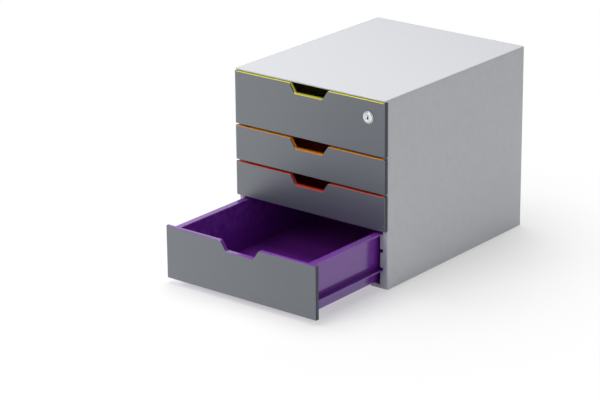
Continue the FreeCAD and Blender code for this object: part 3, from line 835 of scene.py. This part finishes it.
def make_rim(name, front, back, top):
    """The flat rim, a sheet in the shape of a U, thickened and softened."""
    rim = sheet_piece(name, (-RIM_HALF, front - 1 * MM, top), (RIM_HALF, back + RIM_BACK, top), turned_up=True)
    inner_x = TUB_HALF - TUB_WALL / 2
    inner_y = back - TUB_WALL / 2
    edit(rim)
    for side in (-1, 1):
        slice_mesh((side * inner_x, 0, 0), (1, 0, 0))
    slice_mesh((0, inner_y, 0), (0, 1, 0))
    pick(rim, "FACE", lambda c, n: abs(c.x) < inner_x and c.y < inner_y)
    bpy.ops.mesh.delete(type="FACE")
    tidy_flats()
    pick(rim, "VERT", lambda c: near_to(abs(c.x), RIM_HALF) and c.y > back)
    round_corners(RIM_ROUND, 6)
    pick(rim, "VERT", lambda c: near_to(abs(c.x), inner_x) and near_to(c.y, inner_y))
    round_corners(TUB_ROUND - TUB_WALL / 2, 6)
    leave()
    thicken(rim, RIM_THICK)
    soften(rim, EDGE_ROUND)
    return rim


def make_runner(name, front, back, top, inner_x):
    """The two lower runners, each with its rear corner cut back."""
    runner = sheet_piece(name, (inner_x, front - 1 * MM, top), (RIM_HALF, back - 2 * MM, top), turned_up=True)
    edit(runner)
    slice_mesh((RIM_HALF, back - 2 * MM - RUNNER_LEAD, top), (RUNNER_LEAD, RUNNER_LEAD / 2, 0), clear_outer=True)
    leave()
    thicken(runner, RIM_THICK)
    apply_modifier(runner, "MIRROR", use_axis=(True, False, False), use_mirror_merge=False)
    soften(runner, EDGE_ROUND)
    return runner


def make_nibs(name, back, top):
    """The two low nibs on the rim that meet the box's stops."""
    nib_y = back - NIB_FROM_BACK
    nib = box_piece(name, (RIM_HALF - NIB_WIDE, nib_y, top - 1 * MM), (RIM_HALF, nib_y + NIB_LONG, top + NIB_HIGH))
    edit(nib)
    pick(nib, "EDGE", lambda c, d: c.z > top + NIB_HIGH / 2 and abs(d.x) > 0.9 and c.y > nib_y + NIB_LONG / 2)
    round_edges(1.0 * MM, 3)
    leave()
    apply_modifier(nib, "MIRROR", use_axis=(True, False, False), use_mirror_merge=False)
    return nib


# %% Front wall with its lap and the rim of the grip
GRIP_RIM_REACH = 2.4 * MM
GRIP_RIM_THICK = 2.4 * MM
WALL_OVER_FLOOR = 0.8 * MM
CAP_GAP = 3.5 * MM


def make_grip_rim(name, back, top):
    """The rim behind the wall that follows the sides and the floor of the cut-out."""
    run = CUT_TOP_HALF - CUT_BOTTOM_HALF
    out = GRIP_RIM_THICK * math.hypot(CUT_DEPTH, run) / CUT_DEPTH
    high_z = top - 3.0 * MM
    high_half = CUT_TOP_HALF + out - (top - high_z) * run / CUT_DEPTH
    rim = sheet_piece(name, (-high_half, back - 1 * MM, top - CUT_DEPTH - GRIP_RIM_THICK),
                      (high_half, back - 1 * MM, high_z), turned_up=False)
    edit(rim)
    for side in (-1, 1):
        slice_mesh((side * high_half, 0, high_z), (side * CUT_DEPTH, 0, -run), clear_outer=True)
    cut_finger_notch(rim, top)
    leave()
    thicken(rim, GRIP_RIM_REACH + 1 * MM)
    soften(rim, 0.6 * MM)
    return rim


def make_front_wall(name, front, line, top):
    """The coloured wall behind the cap. Only its lap comes forward to the front plane."""
    bottom = line + CAP_GAP + WALL_OVER_FLOOR
    wall = sheet_piece(name, (-FRONT_WALL_HALF, front, bottom), (FRONT_WALL_HALF, front, top), turned_up=False)
    edit(wall)
    cut_finger_notch(wall, top)
    leave()
    thicken(wall, CAP_SKIN + FRONT_WALL)
    soften(wall, 0.35 * MM)
    pocket = sheet_piece(name + "_pocket", (-FRONT_WALL_HALF - 1 * MM, front - 1 * MM, bottom - 1 * MM),
                         (FRONT_WALL_HALF + 1 * MM, front - 1 * MM, top - LAP), turned_up=False)
    edit(pocket)
    cut_finger_notch(pocket, top - LAP, LAP_NARROW + 0.03 * MM)
    leave()
    thicken(pocket, CAP_SKIN + 1 * MM)
    combine(wall, pocket, "DIFFERENCE")
    combine(wall, make_grip_rim(name + "_grip", front + CAP_SKIN + FRONT_WALL, top), "UNION")
    return wall


# %% Whole trays
def open_tub_front(tub, front, top):
    """Cuts the tub's front clear of the finger cut-out, which only the front wall shapes."""
    spare = 0.6 * MM
    floor_z = top - CUT_DEPTH - spare
    run = CUT_TOP_HALF - CUT_BOTTOM_HALF
    notch = box_piece(tub.name + "_notch", (-CUT_TOP_HALF - spare, front - 2 * TUB_WALL, floor_z),
                      (CUT_TOP_HALF + spare, front + 1 * MM, top))
    edit(notch)
    pick(notch, "FACE", lambda c, n: n.z < -0.9)
    narrow = (CUT_BOTTOM_HALF + spare) / (CUT_TOP_HALF + spare)
    bpy.ops.transform.resize(value=(narrow, 1, 1), center_override=(0, 0, floor_z))
    leave()
    combine(tub, notch, "DIFFERENCE")


def make_tray(name, modules, low, high):
    """One tray from its CAD box: the front plane, the back of the rim, and the module lines."""
    front = low.y + CAP_SKIN + FRONT_WALL
    back = high.y - RIM_BACK
    top = high.z
    line = top - modules * MODULE
    rim_top = top - RIM_UNDER_TOP
    tray = make_tub(name, front, back, low.z, rim_top)
    open_tub_front(tray, front, top)
    inner_x = TUB_HALF - TUB_WALL - 0.2 * MM
    combine(tray, make_rim(name + "_rim", front, back, rim_top), "UNION")
    combine(tray, make_runner(name + "_runner", front, back, line + MODULE - RIM_UNDER_TOP, inner_x), "UNION")
    combine(tray, make_nibs(name + "_nibs", back, rim_top), "UNION")
    combine(tray, make_front_wall(name + "_wall", low.y, line, top), "UNION")
    return tray


trays = {}
for first, second, modules in (("purple", "yellow", 3), ("orange", "red", 2)):
    low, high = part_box("tray_" + first)
    trays[first] = make_tray("moulded_tray_" + first, modules, low, high)
    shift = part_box("tray_" + second)[0] - low
    trays[second] = twin(trays[first], "moulded_tray_" + second, shift)
round_hole(trays["yellow"], LOCK_X, LOCK_Z, LOCK_HOLE, front_y, front_y + 8 * MM)
for drawer, tray in trays.items():
    shade(tray)
    settle(tray, "drawer_" + drawer, "tray_" + drawer, tray_plastics[drawer], "tray_" + drawer)

# %% [markdown]
# ## Casing hood
# The top and both sides of the box are one thin moulding. The top runs forward over the drawers as a lip, and the
# walls stop behind the caps. What the light shows most is its rounded edge, so that edge is made with several
# steps. The top is a flat sheet whose corners are rounded before it gets its thickness, a side wall is a block with
# rounded uprights, and the ribs that stiffen it inside are one rib in a row of copies.

# %% Hood sizes
HOOD_TOP = 2.5 * MM
HOOD_SKIN = 2.6 * MM
HOOD_LIP_ROUND = 2.0 * MM
HOOD_REAR_ROUND = 3.0 * MM
HOOD_EDGE_ROUND = 1.4 * MM
HOOD_WALL_FRONT_ROUND = 2.3 * MM
HOOD_WALL_REAR_ROUND = 2.5 * MM
WALL_BEHIND_FRONTS = 7.0 * MM
RETURN_INNER = 132.3 * MM
RETURN_THICK = 3.0 * MM
RIB_THICK = 2.4 * MM
RIB_COUNT = 5
RIB_FIRST = 3.2 * MM
RIB_LAST = 5.9 * MM
FLOOR_LEVEL = 7.0 * MM
TOP_RIB_STEP = 42.0 * MM
TOP_RIB_DEEP = 1.6 * MM
TOP_RIB_START = 30.0 * MM
SEAT = 0.5 * MM


# %% Hood
def make_hood_top(name, low, high):
    """The top with its rounded plan and its rounded upper edge."""
    top = sheet_piece(name, (low.x, low.y, high.z), (high.x, high.y, high.z), turned_up=True)
    edit(top)
    pick(top, "VERT", lambda c: near_to(c.y, low.y))
    round_corners(HOOD_LIP_ROUND, 6)
    pick(top, "VERT", lambda c: near_to(c.y, high.y))
    round_corners(HOOD_REAR_ROUND, 6)
    leave()
    thicken(top, HOOD_TOP)
    edit(top)
    pick(top, "EDGE", lambda c, d: near_to(c.z, high.z))
    round_edges(HOOD_EDGE_ROUND, 6)
    pick(top, "EDGE", lambda c, d: near_to(c.z, high.z - HOOD_TOP))
    round_edges(0.3 * MM, 2)
    leave()
    return top


def make_rib_row(name, low, high, shift):
    """One rib with two softened edges, and its copies in a row."""
    rib = box_piece(name, low, high)
    edit(rib)
    pick(rib, "EDGE", lambda c, d: near_to(c.x, low[0]) and abs(d.z) > 0.9)
    round_edges(0.4 * MM, 2)
    leave()
    apply_modifier(rib, "ARRAY", count=RIB_COUNT, use_relative_offset=False, use_constant_offset=True,
                   constant_offset_displace=shift)
    return rib


def make_hood_sides(name, low, high, wall_y):
    """The right wall with its front return and ribs, mirrored for the left."""
    skin_x = high.x - HOOD_SKIN
    under = high.z - HOOD_TOP
    wall = box_piece(name, (skin_x, wall_y, low.z), (high.x, high.y, under + SEAT))
    edit(wall)
    pick(wall, "EDGE", lambda c, d: near_to(c.x, high.x) and near_to(c.y, wall_y))
    round_edges(HOOD_WALL_FRONT_ROUND, 6)
    pick(wall, "EDGE", lambda c, d: near_to(c.x, high.x) and near_to(c.y, high.y))
    round_edges(HOOD_WALL_REAR_ROUND, 6)
    leave()
    front_return = box_piece(name + "_return", (RETURN_INNER, wall_y, FLOOR_LEVEL),
                             (skin_x + SEAT / 2, wall_y + RETURN_THICK, under + SEAT))
    edit(front_return)
    pick(front_return, "EDGE", lambda c, d: near_to(c.x, RETURN_INNER) and abs(d.z) > 0.9)
    round_edges(0.4 * MM, 2)
    leave()
    combine(wall, front_return, "UNION")
    first = wall_y + RIB_FIRST
    step = (high.y - RIB_LAST - first) / (RIB_COUNT - 1)
    ribs = make_rib_row(name + "_ribs", (RETURN_INNER, first - RIB_THICK / 2, FLOOR_LEVEL),
                        (skin_x + SEAT, first + RIB_THICK / 2, under + SEAT), (0, step, 0))
    combine(wall, ribs, "UNION")
    apply_modifier(wall, "MIRROR", use_axis=(True, False, False), use_mirror_merge=False)
    return wall


hood_low, hood_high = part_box("housing_shell")
hood = make_hood_top("grey_casing_hood", hood_low, hood_high)
wall_y = front_y + WALL_BEHIND_FRONTS
combine(hood, make_hood_sides("hood_sides", hood_low, hood_high, wall_y), "UNION")
under_top = hood_high.z - HOOD_TOP
top_ribs = make_rib_row("hood_top_ribs",
                        (-2 * TOP_RIB_STEP - RIB_THICK / 2, wall_y + TOP_RIB_START, under_top - TOP_RIB_DEEP),
                        (-2 * TOP_RIB_STEP + RIB_THICK / 2, hood_high.y - 3.5 * MM, under_top + SEAT),
                        (TOP_RIB_STEP, 0, 0))
combine(hood, top_ribs, "UNION")
shade(hood)
settle(hood, "casing", "casing_grey", casing_grey, "housing_shell")

# %% [markdown]
# ## Lock
# A small cam lock sits at the right of the top drawer: a nickel plated ring with a raised inner step, a round plug
# with an upright keyway, and behind the front the barrel with two flats, the cam and its screw. Round parts start
# as cylinders, and each step is an inset of the last face that is then pulled out. Slots and bores are cut last.

# %% Lock sizes
RING_RADIUS = 9.5 * MM
RING_HIGH = 1.0 * MM
STEP_RADIUS = 7.6 * MM
STEP_HIGH = 0.8 * MM
BARREL_RADIUS = 7.4 * MM
BARREL_FLAT = 6.2 * MM
BARREL_LONG = 22.0 * MM
BORE_RADIUS = 5.08 * MM
CLIP_GROOVE_RADIUS = 6.4 * MM
CLIP_GROOVE = 1.3 * MM
KEYWAY_HALF = 0.9 * MM
KEYWAY_HALF_HIGH = 3.2 * MM
KEYWAY_DEEP = 9.0 * MM
TANG_HALF = 2.5 * MM
SCREW_HOLE = 1.6 * MM
SCREW_HOLE_DEEP = 8.0 * MM


def round_bar(name, radius, y_low, y_high, x, z, sides=64):
    """A round bar whose axis runs to the back, to be shaped further."""
    bpy.ops.object.select_all(action="DESELECT")
    bpy.ops.mesh.primitive_cylinder_add(vertices=sides, radius=radius, depth=y_high - y_low,
                                        location=(x, (y_low + y_high) / 2, z), rotation=(math.pi / 2, 0, 0))
    bar = bpy.context.object
    bar.name = name
    return freeze(bar)


def step_out(piece, place_y, inwards, length):
    """Insets the round end face at a place and pulls the new face along the axis."""
    pick(piece, "FACE", lambda c, n: near_to(c.y, place_y) and abs(n.y) > 0.9)
    bpy.ops.mesh.inset(thickness=inwards)
    bpy.ops.mesh.extrude_region_move(TRANSFORM_OT_translate={"value": (0, length, 0)})


def rim_edges(piece, place_y, radius):
    """Selects the edges of one circle round the lock's axis."""
    def wanted(c, d):
        return near_to(c.y, place_y) and near_to(math.hypot(c.x - LOCK_X, c.z - LOCK_Z), radius, 0.06 * MM)
    return pick(piece, "EDGE", wanted)


# %% Ring and barrel
ring_front = front_y - RING_HIGH
step_front = ring_front - STEP_HIGH
barrel_back = front_y + BARREL_LONG
barrel = round_bar("nickel_lock_ring", RING_RADIUS, ring_front, front_y, LOCK_X, LOCK_Z)
edit(barrel)
step_out(barrel, ring_front, RING_RADIUS - STEP_RADIUS, -STEP_HIGH)
step_out(barrel, front_y, RING_RADIUS - BARREL_RADIUS, BARREL_LONG)
rim_edges(barrel, ring_front, RING_RADIUS)
round_edges(0.6 * MM, 4)
rim_edges(barrel, step_front, STEP_RADIUS)
round_edges(0.5 * MM, 4)
leave()
for side in (-1, 1):
    flat_z = LOCK_Z + side * BARREL_FLAT
    far_z = LOCK_Z + side * (BARREL_RADIUS + 1 * MM)
    flat = box_piece("flat", (LOCK_X - RING_RADIUS, front_y, min(flat_z, far_z)),
                     (LOCK_X + RING_RADIUS, barrel_back + 1 * MM, max(flat_z, far_z)))
    combine(barrel, flat, "DIFFERENCE")
clip_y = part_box("lock_clip")[0].y
groove = round_bar("groove", RING_RADIUS, clip_y, clip_y + CLIP_GROOVE, LOCK_X, LOCK_Z)
round_hole(groove, LOCK_X, LOCK_Z, CLIP_GROOVE_RADIUS, clip_y - 1 * MM, clip_y + CLIP_GROOVE + 1 * MM)
combine(barrel, groove, "DIFFERENCE")
round_hole(barrel, LOCK_X, LOCK_Z, BORE_RADIUS, step_front - 1 * MM, barrel_back + 1 * MM)
edit(barrel)
rim_edges(barrel, step_front, BORE_RADIUS)
round_edges(0.25 * MM, 3)
leave()
shade(barrel)
settle(barrel, "drawer_yellow", "lock_nickel", lock_nickel, "lock_barrel")

# %% Plug with its keyway
plug_low, plug_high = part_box("lock_plug")
PLUG_RADIUS = 5.0 * MM
tang_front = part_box("lock_cam")[0].y
plug = round_bar("nickel_lock_plug", PLUG_RADIUS, plug_low.y, tang_front, LOCK_X, LOCK_Z)
edit(plug)
rim_edges(plug, plug_low.y, PLUG_RADIUS)
round_edges(0.35 * MM, 3)
leave()
tang = box_piece("tang", (LOCK_X - TANG_HALF, tang_front - 1 * MM, LOCK_Z - TANG_HALF),
                 (LOCK_X + TANG_HALF, plug_high.y, LOCK_Z + TANG_HALF))
edit(tang)
pick(tang, "EDGE", lambda c, d: abs(d.y) > 0.9)
round_edges(0.3 * MM, 2)
leave()
combine(plug, tang, "UNION")
keyway = box_piece("keyway", (LOCK_X - KEYWAY_HALF, plug_low.y - 1 * MM, LOCK_Z - KEYWAY_HALF_HIGH),
                   (LOCK_X + KEYWAY_HALF, plug_low.y + KEYWAY_DEEP, LOCK_Z + KEYWAY_HALF_HIGH))
edit(keyway)
pick(keyway, "EDGE", lambda c, d: abs(d.y) > 0.9)
round_edges(0.4 * MM, 3)
leave()
combine(plug, keyway, "DIFFERENCE")
ward = round_bar("ward", 1.5 * MM, plug_low.y - 1 * MM, plug_low.y + KEYWAY_DEEP,
                 LOCK_X - 0.7 * MM, LOCK_Z - 1.4 * MM, 32)
combine(plug, ward, "DIFFERENCE")
round_hole(plug, LOCK_X, LOCK_Z, SCREW_HOLE, plug_high.y - SCREW_HOLE_DEEP, plug_high.y + 1 * MM)
shade(plug)
settle(plug, "lock_core", "lock_nickel", lock_nickel, "lock_plug")

# %% Screw with a cross recess
screw_low, screw_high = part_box("cam_screw")
SCREW_HEAD = 3.4 * MM
SCREW_HEAD_HIGH = 1.8 * MM
SCREW_SHANK = 1.5 * MM
head_front = screw_high.y - SCREW_HEAD_HIGH
screw = round_bar("zinc_cam_screw", SCREW_HEAD, head_front, screw_high.y, LOCK_X, LOCK_Z, 48)
edit(screw)
rim_edges(screw, screw_high.y, SCREW_HEAD)
round_edges(1.1 * MM, 5)
step_out(screw, head_front, SCREW_HEAD - SCREW_SHANK, screw_low.y - head_front)
leave()
for wide, tall in ((0.45, 1.9), (1.9, 0.45)):
    cross = box_piece("cross", (LOCK_X - wide * MM, screw_high.y - 1.0 * MM, LOCK_Z - tall * MM),
                      (LOCK_X + wide * MM, screw_high.y + 1 * MM, LOCK_Z + tall * MM))
    combine(screw, cross, "DIFFERENCE")
shade(screw)
settle(screw, "lock_core", "plated_steel", zinc_steel, "cam_screw")

# %% [markdown]
# ## Finishes on the CAD nodes
# The casing, its rails, the feet and the steel parts behind the front already have their true shape in the CAD
# model, so they stay and only get their finish.

# %% CAD finishes
node_finishes = {
    casing_grey: ["base_plate", "back_panel", "rail_panel_left", "rail_panel_right"],
    foot_rubber: ["foot_front_left", "foot_front_right", "foot_back_left", "foot_back_right"],
    zinc_steel: ["lock_strike", "lock_clip", "lock_cam"],
}
for finish, names in node_finishes.items():
    for name in names:
        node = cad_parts[name]
        node.data.materials.clear()
        node.data.materials.append(finish)
    print(finish.name, names)
